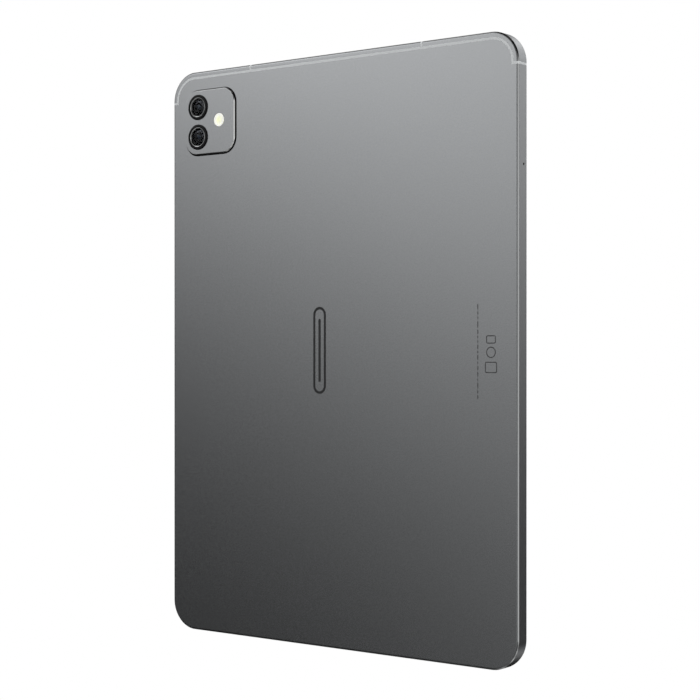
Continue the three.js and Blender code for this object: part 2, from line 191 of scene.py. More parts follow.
def csg(o, op, *cutters):
    for c in cutters:
        m = o.modifiers.new("cut", "BOOLEAN")
        m.operation, m.solver, m.object = op, "EXACT", c
        dg = bpy.context.evaluated_depsgraph_get()
        me = bpy.data.meshes.new_from_object(o.evaluated_get(dg))
        o.modifiers.clear()
        old = o.data
        o.data = me
        me.name = old.name
        bpy.data.meshes.remove(old)
    return o


def drop(*objs):
    for o in objs:
        me = o.data
        bpy.data.objects.remove(o)
        if me.users == 0:
            bpy.data.meshes.remove(me)


def copy(o, name):
    c = o.copy()
    c.data = o.data.copy()
    c.name = name
    c.data.name = name
    return link(c)


def tidy(o, angle=28.0):
    """Merges doubled points, drops empty faces and sets smooth shading with sharp edges over the angle."""
    me = o.data
    bm = bmesh.new()
    bm.from_mesh(me)
    bmesh.ops.remove_doubles(bm, verts=bm.verts, dist=2e-7)
    bmesh.ops.dissolve_degenerate(bm, dist=1e-8, edges=bm.edges)
    bm.to_mesh(me)
    bm.free()
    for p in me.polygons:
        p.use_smooth = True
    me.set_sharp_from_angle(angle=math.radians(angle))
    # normals follow the large flat faces, so the narrow fillets carry the turn
    m = o.modifiers.new("face_weighted", "WEIGHTED_NORMAL")
    m.mode = "FACE_AREA"
    m.weight = 100
    m.keep_sharp = True
    return o


def finishp(o, body=ROOT, nodes=(), angle=28.0):
    tidy(o, angle)
    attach(o, body)
    if nodes:
        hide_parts(*nodes)
    return o


def one_material(o, m):
    o.data.materials.clear()
    o.data.materials.append(m)
    for p in o.data.polygons:
        p.material_index = 0
    return o


# ------------------------------------------------------------------ materials
def new_mat(name):
    m = bpy.data.materials.new(name)
    m.use_nodes = True
    nt = m.node_tree
    return m, nt, nt.nodes["Principled BSDF"]


def coords(nt, scale=(1, 1, 1)):
    tc = nt.nodes.new("ShaderNodeTexCoord")
    mp = nt.nodes.new("ShaderNodeMapping")
    mp.inputs["Scale"].default_value = scale
    nt.links.new(tc.outputs["Object"], mp.inputs["Vector"])
    return mp.outputs["Vector"]


def noise(nt, vec, scale, detail=2.0, rough=0.5):
    n = nt.nodes.new("ShaderNodeTexNoise")
    n.inputs["Scale"].default_value = scale
    n.inputs["Detail"].default_value = detail
    n.inputs["Roughness"].default_value = rough
    nt.links.new(vec, n.inputs["Vector"])
    return n.outputs["Fac"]


def ramp(nt, fac, lo, hi, a=0.3, b=0.7):
    """maps fac from a..b to lo..hi"""
    m = nt.nodes.new("ShaderNodeMapRange")
    m.inputs["From Min"].default_value = a
    m.inputs["From Max"].default_value = b
    m.inputs["To Min"].default_value = lo
    m.inputs["To Max"].default_value = hi
    nt.links.new(fac, m.inputs["Value"])
    return m.outputs["Result"]


def tint(nt, fac, c0, c1):
    m = nt.nodes.new("ShaderNodeMix")
    m.data_type = "RGBA"
    nt.links.new(fac, m.inputs["Factor"])
    m.inputs["A"].default_value = (*c0, 1)
    m.inputs["B"].default_value = (*c1, 1)
    return m.outputs["Result"]


def bump(nt, bsdf, fac, strength, dist):
    b = nt.nodes.new("ShaderNodeBump")
    b.inputs["Strength"].default_value = strength
    b.inputs["Distance"].default_value = dist
    nt.links.new(fac, b.inputs["Height"])
    nt.links.new(b.outputs["Normal"], bsdf.inputs["Normal"])


def surface(name, base, metal, rough, vary=0.03, rvary=0.03, grain=6000, gstr=0.1, gdist=2e-5, coarse=60, coat=0.0, coat_rough=0.05, ior=1.5, spec=0.5, stretch=(1, 1, 1), emis=None, sheen=0.0):
    """A surface with slow colour drift, small roughness changes and a fine grain."""
    m, nt, b = new_mat(name)
    v = coords(nt, stretch)
    slow = noise(nt, v, coarse, 3.0)
    fine = noise(nt, v, grain, 2.0)
    c0 = [max(0.0, c * (1 - vary)) for c in base]
    c1 = [min(1.0, c * (1 + vary)) for c in base]
    nt.links.new(tint(nt, slow, c0, c1), b.inputs["Base Color"])
    nt.links.new(ramp(nt, fine, max(0.02, rough - rvary), min(1.0, rough + rvary)), b.inputs["Roughness"])
    b.inputs["Metallic"].default_value = metal
    b.inputs["IOR"].default_value = ior
    b.inputs["Specular IOR Level"].default_value = spec
    if coat:
        b.inputs["Coat Weight"].default_value = coat
        b.inputs["Coat Roughness"].default_value = coat_rough
    if sheen:
        b.inputs["Sheen Weight"].default_value = sheen
    if emis:
        b.inputs["Emission Color"].default_value = (*emis[0], 1)
        b.inputs["Emission Strength"].default_value = emis[1]
    if gstr:
        bump(nt, b, fine, gstr, gdist)
    return m


ALU = surface("anodised_aluminium", (0.333, 0.342, 0.350), 1.0, 0.26, vary=0.012, rvary=0.05, grain=9000, gstr=0.25, gdist=8e-6, coarse=30)
ALU_WALL = surface("anodised_wall", (0.333, 0.342, 0.350), 1.0, 0.36, vary=0.012, rvary=0.05, grain=9000, gstr=0.25, gdist=8e-6, coarse=30)
EDGE = surface("cut_edge", (0.88, 0.885, 0.88), 1.0, 0.22, vary=0.01, rvary=0.04, grain=5000, gstr=0.0, coarse=40)
CHAM = surface("polished_chamfer", (0.36, 0.365, 0.368), 1.0, 0.16, vary=0.01, rvary=0.04, grain=5000, gstr=0.0, coarse=40)
RAW = surface("machined_inside", (0.42, 0.43, 0.43), 1.0, 0.42, vary=0.05, rvary=0.08, grain=1200, gstr=0.3, gdist=2e-5, coarse=80, stretch=(1, 1, 6))
PLASTIC = surface("antenna_plastic", (0.61, 0.628, 0.635), 0.0, 0.5, vary=0.02, rvary=0.05, grain=7000, gstr=0.2, gdist=6e-6)
RING = surface("ring_black", (0.003, 0.003, 0.0035), 0.0, 0.24, vary=0.1, rvary=0.05, grain=5000, gstr=0.0, spec=0.14)
TRIM = surface("island_trim", (0.003, 0.003, 0.0035), 0.0, 0.6, vary=0.1, rvary=0.05, grain=5000, gstr=0.1, gdist=4e-6, spec=0.08)
SILVER = surface("bright_ring", (0.66, 0.675, 0.67), 1.0, 0.24, vary=0.02, rvary=0.05, grain=4000, gstr=0.0)
BLACKM = surface("module_black", (0.008, 0.008, 0.009), 0.0, 0.5, vary=0.1, rvary=0.06, grain=5000, gstr=0.3, gdist=1e-5, spec=0.15)
STEEL = surface("spring_steel", (0.56, 0.565, 0.57), 1.0, 0.28, vary=0.03, rvary=0.09, grain=1500, gstr=0.25, gdist=1e-5, stretch=(1, 1, 12))
DARKP = surface("dark_plastic", (0.03, 0.03, 0.032), 0.0, 0.55, vary=0.08, rvary=0.08, grain=3500, gstr=0.4, gdist=2e-5)
GOLD = surface("contact_gold", (0.78, 0.55, 0.22), 1.0, 0.25, vary=0.05, rvary=0.08, grain=3000, gstr=0.0)
PRINT = surface("printed_mark", (0.020, 0.0205, 0.021), 0.0, 0.6, vary=0.1, rvary=0.05, grain=6000, gstr=0.2, gdist=4e-6)
PRINT2 = surface("printed_fine", (0.055, 0.056, 0.057), 0.0, 0.6, vary=0.08, rvary=0.05, grain=6000, gstr=0.2, gdist=4e-6)
GLASSB = surface("glass_border", (0.004, 0.004, 0.0045), 0.0, 0.06, vary=0.2, rvary=0.02, grain=300, gstr=0.0, coat=1.0, coat_rough=0.02)
SCREEN = surface("screen_off", (0.009, 0.010, 0.013), 0.0, 0.10, vary=0.1, rvary=0.02, grain=300, gstr=0.0, coat=1.0, coat_rough=0.02)
FOAM = surface("gasket_foam", (0.02, 0.02, 0.02), 0.0, 0.85, vary=0.2, rvary=0.1, grain=4000, gstr=0.6, gdist=3e-5)
SEAL = surface("seal_rubber", (0.36, 0.05, 0.04), 0.0, 0.6, vary=0.06, rvary=0.06, grain=3000, gstr=0.2, gdist=1e-5)
CARD = surface("card_plastic", (0.80, 0.80, 0.77), 0.0, 0.45, vary=0.02, rvary=0.05, grain=3000, gstr=0.1, gdist=1e-5)
PCB = surface("circuit_board", (0.012, 0.07, 0.035), 0.0, 0.38, vary=0.25, rvary=0.08, grain=1800, gstr=0.3, gdist=2e-5, coarse=260, coat=0.3, coat_rough=0.2)
FLEX = surface("flex_film", (0.42, 0.17, 0.03), 0.0, 0.32, vary=0.12, rvary=0.06, grain=1500, gstr=0.2, gdist=1e-5, coat=0.4, coat_rough=0.15)
POUCH = surface("battery_pouch", (0.045, 0.045, 0.05), 0.35, 0.42, vary=0.12, rvary=0.1, grain=900, gstr=0.35, gdist=4e-5, coarse=120)
WHITE = surface("diffuser_white", (0.82, 0.83, 0.84), 0.0, 0.5, vary=0.02, rvary=0.04, grain=1200, gstr=0.1, gdist=1e-5)
MID = surface("mid_sheet", (0.55, 0.555, 0.56), 1.0, 0.38, vary=0.03, rvary=0.09, grain=1200, gstr=0.25, gdist=1e-5, stretch=(10, 1, 1))
PHOS = surface("phosphor", (0.95, 0.80, 0.30), 0.0, 0.5, vary=0.05, rvary=0.05, grain=2500, gstr=0.2, gdist=1e-5)
CLOTH = surface("speaker_mesh_metal", (0.03, 0.03, 0.032), 0.6, 0.45, vary=0.1, rvary=0.08, grain=4000, gstr=0.2, gdist=1e-5)


def lens_glass(name, base, rough=0.03, coat_tint=(0.72, 0.74, 0.84)):
    m, nt, b = new_mat(name)
    v = coords(nt)
    n = noise(nt, v, 900, 2.0)
    nt.links.new(tint(nt, n, base, [c * 1.5 for c in base]), b.inputs["Base Color"])
    b.inputs["Roughness"].default_value = rough
    b.inputs["IOR"].default_value = 1.6
    b.inputs["Specular IOR Level"].default_value = 0.2
    b.inputs["Coat Weight"].default_value = 0.15
    b.inputs["Coat Roughness"].default_value = 0.03
    b.inputs["Coat Tint"].default_value = (*coat_tint, 1)
    b.inputs["Specular Tint"].default_value = (*coat_tint, 1)
    return m


LENS_A = lens_glass("lens_front", (0.004, 0.004, 0.006))
LENS_B = lens_glass("lens_inner", (0.006, 0.008, 0.02), coat_tint=(0.62, 0.78, 0.95))


def window(name, rough, tr, tintc=(1, 1, 1)):
    """thin clear cover glass"""
    m, nt, b = new_mat(name)
    v = coords(nt)
    n = noise(nt, v, 400, 1.0)
    nt.links.new(ramp(nt, n, rough, rough + 0.01), b.inputs["Roughness"])
    b.inputs["Base Color"].default_value = (*tintc, 1)
    b.inputs["Transmission Weight"].default_value = tr
    b.inputs["IOR"].default_value = 1.13
    return m


COVER = window("lens_cover", 0.0, 1.0, (0.86, 0.88, 0.9))


def flash_painted_glow_material():
    m, nt, b = new_mat("flash_window")
    v = coords(nt)
    far = nt.nodes.new("ShaderNodeVectorMath")
    far.operation = "DISTANCE"
    nt.links.new(v, far.inputs[0])
    far.inputs[1].default_value = (FLASH["x"] * MM, (YB - ISL["rise"]) * MM, FLASH["z"] * MM)
    rim = ramp(nt, far.outputs["Value"], 0.0, 1.0, 0.0007, 0.0026)
    col = tint(nt, rim, (0.92, 0.94, 0.64), (1.0, 1.0, 0.90))
    nt.links.new(col, b.inputs["Base Color"])
    # painted glow: the emission below makes the unlit flash window shine, yellower in the middle and paler towards the
    # rim; the base colour tint above is the window's own colour
    nt.links.new(tint(nt, rim, (0.97, 1.0, 0.76), (1.0, 1.0, 0.92)), b.inputs["Emission Color"])
    nt.links.new(ramp(nt, noise(nt, v, 3000, 1.0), 0.28, 0.4), b.inputs["Roughness"])
    b.inputs["Subsurface Weight"].default_value = 0.3
    b.inputs["Subsurface Radius"].default_value = (0.0006, 0.0006, 0.0004)
    b.inputs["Subsurface Scale"].default_value = 1.0
    b.inputs["Emission Strength"].default_value = 0.22
    return m


FLASH_PAINTED_GLOW = flash_painted_glow_material()


# ------------------------------------------------------------------ outer body, shared by the metal and plastic pieces
def quarter(i0, i1, y0, y1, n=8):
    """(inset, y) along a rounded front edge"""
    out = []
    for k in range(n + 1):
        t = (1 - k / n) * math.pi / 2
        out.append((i0 + (i1 - i0) * (1 - math.sin(t)), y0 + (y1 - y0) * math.cos(t)))
    return out


ALU_SET = (ALU, CHAM, RAW, ALU_WALL)
outer = [(1.02, YB), (0.84, YB + 0.008), (0.64, YB + 0.036), (0.50, YB + 0.075), (0.44, YB + 0.115), (0.03, YB + 0.575), (0.008, YB + 0.61), (0.0, YB + 0.66)]
outer_m = [0, 0, 0, 0, 1, 3, 3]
front = quarter(0.0, ROUND, RIM - ROUND, RIM)
prof = outer + front + [(POCKET - 0.04, RIM), (POCKET, RIM - 0.04)]
pm = outer_m + [3] * (len(prof) - len(outer))
body_prof = prof + [(POCKET, LEDGE)]
body_m = pm[:len(prof) - 1] + [3]
assert len(body_m) == len(body_prof) - 1
shell_prof = prof + [(POCKET, LEDGE), (WALL, LEDGE), (WALL, YB + BACK_T)]
shell_m = pm[:len(prof) - 1] + [3, 2, 2]
N = 28
shell = plate("rear_shell", shell_prof, ALU_SET, shell_m, (0, 2), n=N)
block = plate("block", body_prof, ALU_SET, body_m, (0, 2), n=N)


def u_zone(inset, z0, x0=-W, x1=W, n=N):
    """the part of the plane above z0, outside the inset outline, between x0 and x1"""
    inner = [(x, z) for x, z in outline(inset, n) if z > z0 and x0 - 1e-6 < x < x1 + 1e-6]
    inner.sort(key=lambda p: math.atan2(p[1] - (H - R), p[0]) if p[1] > H - R else (0 if p[0] > 0 else math.pi))
    hx = W / 2 - inset
    pts = []
    if x1 >= hx:
        pts += [(hx, z0)]
    else:
        pts += [(x1, H - inset)]
    pts += [p for p in inner if not (abs(p[0] - pts[0][0]) < 1e-6 and abs(p[1] - pts[0][1]) < 1e-6)]
    if x0 <= -hx:
        pts += [(-hx, z0), (-W, z0), (-W, H + 30)]
    else:
        pts += [(x0, H - inset), (x0, H + 30)]
    if x1 >= hx:
        pts += [(W, H + 30), (W, z0)]
    else:
        pts += [(x1, H + 30)]
    return pts


strip = prism("strip", u_zone(IN_B, ZS - LINE / 2), -20, 20, ALU_SET, 2)
zl = prism("zl", u_zone(IN_A, ZS + LINE / 2, -W, -BRK - LINE / 2), -20, 20, ALU_SET, 3)
zc = prism("zc", u_zone(IN_A, ZS + LINE / 2, -BRK + LINE / 2, BRK - LINE / 2), -20, 20, ALU_SET, 3)
zr = prism("zr", u_zone(IN_A, ZS + LINE / 2, BRK + LINE / 2, W), -20, 20, ALU_SET, 3)

# slot cutters with a small chamfered lip
LIP = 0.12


def slot_cut(face, cu, cv, l, t, name, deep=6.0, lip=LIP, idx=2):
    s = {"top": H, "bottom": 0.0, "left": -W / 2, "right": W / 2}[face]
    sg = 1 if face in ("top", "right") else -1
    p = [(0, s - sg * deep), (0, s - sg * lip), (lip + 1.0, s + sg * 1.0)]
    return along(face, cu, cv, l, t, p, name, ALU_SET, [idx, 1], (idx, idx))


power_cut = slot_cut("top", POWER["x"], 0, POWER["l"] + 0.24, POWER["t"] + 0.24, "c_power")
rock_cut = slot_cut("left", ROCK["z"], 0, ROCK["l"] + 0.24, ROCK["t"] + 0.24, "c_rock")
tray_cut = slot_cut("left", TRAY["z"], TRAY["y"], TRAY["l"] + 0.16, TRAY["t"] + 0.16, "c_tray", lip=0.06)
port_cut = slot_cut("bottom", 0, PORT["y"], PORT["w"] + 0.2, PORT["t"] + 0.2, "c_port", lip=0.18)
g_cut = {(s, e): slot_cut(e, s * GX, 0, GL, GT, "c_g%d%s" % (s, e), lip=0.1) for s in (-1, 1) for e in ("top", "bottom")}
mic_cut = slot_cut("right", MIC_Z, MIC_Y, 1.0, 0.999, "c_mic", lip=0.05)
ej_cut = slot_cut("left", EJ_Z, TRAY["y"], 1.1, 1.099, "c_ej", lip=0.05)


def isl_outline(d, n=16):
    return rrect(ISL["w"] - 2 * d, ISL["h"] - 2 * d, ISL["r"] - d, ISL["x"], ISL["z"], n)


isl_cut = prism("c_isl", isl_outline(1.5), YB - 2, YB + 2.5, ALU_SET, 2)

band_l, band_c, band_r, inlay = (copy(block, n) for n in ("band_left", "band_center", "band_right", "inlay_line"))
csg(band_l, "INTERSECT", zl)
csg(band_c, "INTERSECT", zc)
csg(band_r, "INTERSECT", zr)
csg(inlay, "INTERSECT", strip)
csg(inlay, "DIFFERENCE", zl, zc, zr, power_cut, g_cut[(-1, "top")], g_cut[(1, "top")])
csg(band_l, "DIFFERENCE", power_cut)
csg(band_c, "DIFFERENCE", g_cut[(-1, "top")], g_cut[(1, "top")])
csg(shell, "DIFFERENCE", strip, isl_cut, rock_cut, tray_cut, port_cut, g_cut[(-1, "bottom")], g_cut[(1, "bottom")], mic_cut, ej_cut)
# screw bosses and the lever's post, inside
bosses = []
for i, (x, z) in enumerate(((-50, 207), (20, 207), (80, 207), (80, 239), (-20, 26), (20, 26))):
    bosses.append(lathe("boss_%d" % (i + 1), x, z, [(0.8, YB + 0.6), (0.8, -1.5), (0.9, -1.46), (1.8, -1.46), (1.9, -1.55), (1.9, YB + 1.2), (2.4, YB + BACK_T), (2.4, YB + 0.6)], (RAW,), n=32))
    finishp(bosses[-1])
post = lathe("lever_post", -W / 2 + 27.2, 34.2, [(0, YB + 0.6), (0.9, YB + 0.6), (0.9, YB + BACK_T), (0.5, YB + 1.4), (0.5, 0.1), (0.4, 0.2), (0, 0.2)], (RAW,), n=24)
finishp(post)
drop(block, strip, zl, zc, zr, power_cut, rock_cut, tray_cut, port_cut, mic_cut, ej_cut, isl_cut, *g_cut.values())
finishp(shell, nodes=("rear_housing",))
finishp(band_l, nodes=("antenna_band_left",))
finishp(band_c, nodes=("antenna_band_center",))
finishp(band_r, nodes=("antenna_band_right",))
one_material(inlay, PLASTIC)
finishp(inlay, nodes=("antenna_inlay",))

# ------------------------------------------------------------------ camera island
Y0 = YB                       # back face
YI = YB - ISL["rise"]         # island face
# black base under the plate: a ring, closed on itself
def ring_plate(name, prof, mats, rmat, shape, n):
    rings = [[(x, y, z) for x, z in shape(d, n)] for d, y in prof]
    m = len(rings[0])
    verts = [p for r in rings for p in r]
    faces, fm = [], []
    for i in range(len(rings)):
        k2 = (i + 1) % len(rings)
        for j in range(m):
            k = (j + 1) % m
            faces.append((i * m + j, i * m + k, k2 * m + k, k2 * m + j))
            fm.append(rmat[i] if rmat else 0)
    return build(name, verts, faces, mats, fm)


# a thin black ring on the back round the island: partly a gap line, partly painted shadow; its outline is shifted 0.14
# mm right and down so it shows wider at the right and bottom
def seal_and_shadow_outline(d, n=16):
    return [(x + 0.14, z - 0.14) for x, z in isl_outline(d, n)]


trim = ring_plate("island_trim_ring", [(0.02, Y0 - 0.06), (0.02, YI + 0.47), (1.3, YI + 0.47), (1.3, Y0 - 0.06)], (TRIM,), None, isl_outline, 16)
finishp(trim)
# painted shadow: this black sheet stands in for the shade round the raised island, wider at the right and bottom
seal = ring_plate("island_seal_and_painted_shadow", [(-0.52, Y0 - 0.005), (-0.46, Y0 - 0.05), (0.3, Y0 - 0.05), (0.3, Y0 - 0.005)], (TRIM,), None, seal_and_shadow_outline, 16)
finishp(seal)
ISL_SET = (ALU, EDGE, RAW, TRIM)
isl = plate("island_plate", [(0.38, YI), (0.35, YI + 0.006), (0.02, YI + 0.40), (0.0, YI + 0.43), (0.0, YI + 0.45), (0.03, YI + 0.47), (1.6, YI + 0.47), (1.6, YB + 0.85)],
            ISL_SET, [1, 1, 1, 3, 3, 2, 2], (0, 2), shape=isl_outline, n=16)
for i, z in enumerate(LENS_Z):
    c = lathe("c_bore", LENS_X, z, [(0, YI - 1), (4.9, YI - 1), (4.9, YI + 3), (0, YI + 3)], ALU_SET, [2, 2, 2], n=64)
    csg(isl, "DIFFERENCE", c)
    drop(c)
c = lathe("c_flash", FLASH["x"], FLASH["z"], [(0, YI - 1), (3.35, YI - 0.3), (3.08, YI + 0.03), (3.08, YI + 3), (0, YI + 3)], ALU_SET, [2, 2, 2, 2], n=64)
csg(isl, "DIFFERENCE", c)
drop(c)
finishp(isl, nodes=("camera_island",))

YR = YI - RING_RISE           # outer face of a lens ring
for tag, z in zip(("upper", "lower"), LENS_Z):
    ring = lathe("lens_ring_" + tag, LENS_X, z,
                 [(4.50, YI + 0.05), (4.50, YR + 0.09), (4.54, YR + 0.05), (4.66, YR + 0.01), (4.80, YR), (5.48, YR), (5.66, YR + 0.03), (5.78, YR + 0.10), (5.84, YR + 0.22), (5.85, YR + 0.34), (5.85, YI - 0.005),
                  (4.80, YI - 0.005), (4.80, YI + 0.05)], (RING,), n=96)
    finishp(ring, nodes=("camera_ring_" + tag,), angle=40)
    cover = lathe("lens_cover_" + tag, LENS_X, z, [(0, YR + 0.17), (3.98, YR + 0.17), (4.05, YR + 0.22), (4.05, YR + 0.45), (0, YR + 0.45)], (COVER,), n=96)
    finishp(cover, nodes=("camera_glass_" + tag,))
    bright = lathe("lens_trim_" + tag, LENS_X, z, [(4.06, YR + 0.75), (4.06, YR + 0.20), (4.09, YR + 0.16), (4.34, YR + 0.07), (4.40, YR + 0.05), (4.45, YR + 0.055), (4.49, YR + 0.09), (4.49, YR + 0.75)], (SILVER,), n=96)
    finishp(bright, angle=60)
    # stepped baffle, front element, iris and inner element of the module
    steps = []
    r, y = 3.97, YR + 0.66
    steps.append((r, YR + 0.76))
    for k in range(5):
        steps += [(r, y), (r - 0.07, y + 0.015)]
        r -= 0.10
        y += 0.06
    baffle = lathe("lens_baffle_" + tag, LENS_X, z, [(4.05, YR + 1.5), (4.05, YR + 0.56), (4.00, YR + 0.53), (3.97, YR + 0.56)] + steps[1:] + [(3.40, YR + 1.05), (3.40, YR + 1.5)], (BLACKM,), n=96)
    finishp(baffle, angle=20)
    dome = [(0, YR + 0.86)]
    for k in range(1, 11):
        q = k / 10
        dome.append((3.36 * q, YR + 0.86 + 0.34 * q * q))
    lens = lathe("lens_front_" + tag, LENS_X, z, dome + [(3.36, YR + 1.45), (0, YR + 1.45)], (LENS_A,), n=96)
    finishp(lens, angle=40)
    iris = lathe("lens_iris_" + tag, LENS_X, z, [(1.30, YR + 0.845), (1.42, YR + 0.83), (2.30, YR + 0.97), (2.30, YR + 1.02), (1.30, YR + 0.93)], (BLACKM,), n=64)
    finishp(iris)
    eye = [(0, YR + 0.80)]
    for k in range(1, 7):
        q = k / 6
        eye.append((1.22 * q, YR + 0.80 + 0.08 * q * q))
    inner = lathe("lens_inner_" + tag, LENS_X, z, eye + [(1.22, YR + 0.95), (0, YR + 0.95)], (LENS_B,), n=48)
    finishp(inner, angle=40)
    # the module: barrel, square housing with a stepped base
    bar = lathe("lens_barrel_" + tag, LENS_X, z, [(0, YR + 1.52), (4.2, YR + 1.52), (4.2, YR + 1.9), (3.9, YR + 1.95), (3.9, YB + 1.5), (0, YB + 1.5)], (BLACKM,), n=64)
    finishp(bar)
    cx, cz = LENS_X, z

    def sq(d, n, cx=cx, cz=cz):
        return rrect(9.8 - 2 * d, 9.8 - 2 * d, 1.0 - min(d, 0.8), cx, cz, 6)

    mod = plate("camera_body_" + tag, [(0.25, YB + 1.52), (0.05, YB + 1.6), (0.05, YB + 2.9), (0.0, YB + 2.95), (0.0, YB + 4.3), (0.1, YB + 4.38)], (BLACKM, STEEL), [0, 0, 0, 1, 1], (0, 1), shape=sq, n=6)
    finishp(mod, nodes=("camera_module_" + tag,))

# flash window: a lens with concentric steps
fp = [(0, YI - 0.0)]
for k in range(8):
    r0, r1 = 0.33 * k, 0.33 * (k + 1)
    fp += [(max(r0, 0.02), YI + 0.05), (r1 - 0.03, YI + 0.005)]
fp[0] = (0, YI + 0.05)
fp += [(2.72, YI + 0.0), (2.94, YI + 0.02), (3.0, YI + 0.08), (3.0, YB - 0.15), (0, YB - 0.15)]
flash = lathe("flash_window", FLASH["x"], FLASH["z"], fp, (FLASH_PAINTED_GLOW,), n=64)
finishp(flash, nodes=("flash_lens",), angle=12)


# ------------------------------------------------------------------ generic printed marks on the back
def mark(name, pts, mat, hole=None):
    y0, y1 = YB - 0.012, YB + 0.02
    if hole is None:
        o = prism(name, pts, y0, y1, (mat,))
    else:
        n = len(pts)
        verts = [(x, y0, z) for x, z in pts] + [(x, y0, z) for x, z in hole] + [(x, y1, z) for x, z in pts] + [(x, y1, z) for x, z in hole]
        faces = []
        for j in range(n):
            k = (j + 1) % n
            faces += [(j, k, n + k, n + j), (2 * n + j, 2 * n + k, 3 * n + k, 3 * n + j), (j, k, 2 * n + k, 2 * n + j), (n + j, n + k, 3 * n + k, 3 * n + j)]
        o = build(name, verts, faces, (mat,))
    finishp(o)
    return o


def pill(l, t, cx, cz, d=0.0, n=12):
    return [(cx + v, cz + u) for u, v in stadium(l, t, -d, n)]


mark("back_mark_ring", pill(38.0, 7.0, -7.05, 129.2), PRINT, hole=pill(38.0, 7.0, -7.05, 129.2, 1.15))
mark("back_mark_bar", pill(27.5, 1.3, -7.05, 129.2), PRINT)
z = 109.4
i = 0
while z < 146.0:
    l = 0.9 + 2.2 * random.random()
    mark("fine_dash_%02d" % i, pill(l, 0.46, 74.7, z + l / 2, n=4), PRINT2)
    z += l + 0.7
    i += 1
for k, (cz, w) in enumerate(((122.3, 4.6), (128.4, 4.6), (133.6, 3.4))):
    if k == 1:
        mark("fine_sign_%d" % k, pill(w, w - 0.01, 81.0, cz, n=12), PRINT2, hole=pill(w, w - 0.01, 81.0, cz, 0.42, n=12))
    else:
        a = rrect(w + 1.2, w, 0.8, 81.0, cz, 4)
        b = rrect(w + 1.2 - 0.84, w - 0.84, 0.4, 81.0, cz, 4)
        mark("fine_sign_%d" % k, a, PRINT2, hole=b)

# ------------------------------------------------------------------ keys
pz = H
key = along("top", POWER["x"], 0, POWER["l"], POWER["t"],
            [(0.10, pz - 4.3), (0.10, pz - 3.7), (0, pz - 3.65), (0, pz + 0.12), (-0.03, pz + 0.22), (-0.10, pz + 0.30), (-0.22, pz + 0.345), (-0.30, pz + 0.35)],
            "power_key_cap", ALU_SET, [2, 2, 3, 1, 1, 1, 0], (2, 0), n=14)
finishp(key, "power_key", ("power_button",))
sx = -W / 2
roc = along("left", ROCK["z"], 0, ROCK["l"], ROCK["t"],
            [(0.10, sx + 3.5), (0.10, sx + 3.0), (0, sx + 2.95), (0, sx - 0.12), (-0.03, sx - 0.22), (-0.10, sx - 0.30), (-0.22, sx - 0.345), (-0.30, sx - 0.35)],
            "volume_key_cap", ALU_SET, [2, 2, 3, 1, 1, 1, 0], (2, 0), n=14)
finishp(roc, "volume_key", ("volume_rocker",))

# ------------------------------------------------------------------ front glass
def gl_outline(d, n=24):
    return rrect(W - 2 * POCKET - 0.12 - 2 * d, H - 2 * POCKET - 0.12 - 2 * d, R - POCKET - 0.06 - d, 0, H / 2, n)


AW, AH = 171.8, 240.6


def glass_shape(d, n):
    if d >= 5:
        return rrect(AW, AH, 4.0, 0, H / 2, n)
    return gl_outline(d, n)


YG = YF - 0.02
gprof = [(0.15, LEDGE + 0.2), (0.0, LEDGE + 0.3), (0.0, YG - 0.34)]
for k in range(1, 7):
    t = k / 6 * math.pi / 2
    gprof.append((0.55 * (1 - math.cos(t)), YG - 0.34 + 0.34 * math.sin(t)))
gprof.append((9.0, YG))
glass = plate("front_glass", gprof, (GLASSB, SCREEN), None, (0, 1), shape=glass_shape, n=24)
finishp(glass, nodes=("cover_glass",), angle=35)
fcx, fcz = -89.45, 129.0
fr = lathe("front_camera_ring", fcx, fcz, [(1.25, YF - 0.03), (1.25, YF - 0.006), (1.65, YF - 0.006), (1.68, YF - 0.012), (1.68, YF - 0.03)], (DARKP,), n=48)
finishp(fr)
fl = lathe("front_camera_lens", fcx, fcz, [(0, YF - 0.012), (0.7, YF - 0.014), (1.2, YF - 0.018), (1.2, YF - 0.03), (0, YF - 0.03)], (LENS_B,), n=48)
finishp(fl, angle=50)

# ------------------------------------------------------------------ port
pb = 0.25
for nm, pr, nodes in (("port_shell", [(-0.30, pb + 7.0), (-0.30, pb + 0.12), (-0.22, pb + 0.0), (-0.06, pb + 0.0), (0.0, pb + 0.08), (0.0, pb + 8.2), (-0.30, pb + 8.2)], ("usb_shell",)),):
    rings = [[(u, PORT["y"] + v, lev) for u, v in stadium(PORT["w"], PORT["t"], d, 14)] for d, lev in pr]
    m = len(rings[0])
    verts = [p for r in rings for p in r]
    faces = []
    for a in range(len(rings) - 1):
        for j in range(m):
            k = (j + 1) % m
            faces.append((a * m + j, a * m + k, (a + 1) * m + k, (a + 1) * m + j))
    faces.append(tuple(range(m)))
    faces.append(tuple((len(rings) - 1) * m + j for j in range(m)))
    o = build(nm, verts, faces, (STEEL,))
    finishp(o, nodes=nodes)
tongue = loft("port_tongue", [[(x, PORT["y"] + y, lev) for x, y in [(-w, -t), (w, -t), (w, t), (-w, t)]] for w, t, lev in ((3.1, 0.22, pb + 1.55), (3.35, 0.35, pb + 1.75), (3.35, 0.35, pb + 5.0), (3.35, 0.55, pb + 5.2), (3.35, 0.55, pb + 6.95))], (DARKP,))
finishp(tongue, nodes=("usb_tongue",))
for s in (-1, 1):
    for k in range(12):
        x = -2.75 + 0.5 * k
        y = PORT["y"] + s * 0.355
        pad = loft("port_pad_%s_%02d" % ("a" if s < 0 else "b", k + 1), [[(x - w, y - t, lev), (x + w, y - t, lev), (x + w, y + t, lev), (x - w, y + t, lev)] for w, t, lev in ((0.10, 0.012, pb + 2.0), (0.125, 0.02, pb + 2.1), (0.125, 0.02, pb + 4.9))], (GOLD,))
        finishp(pad)


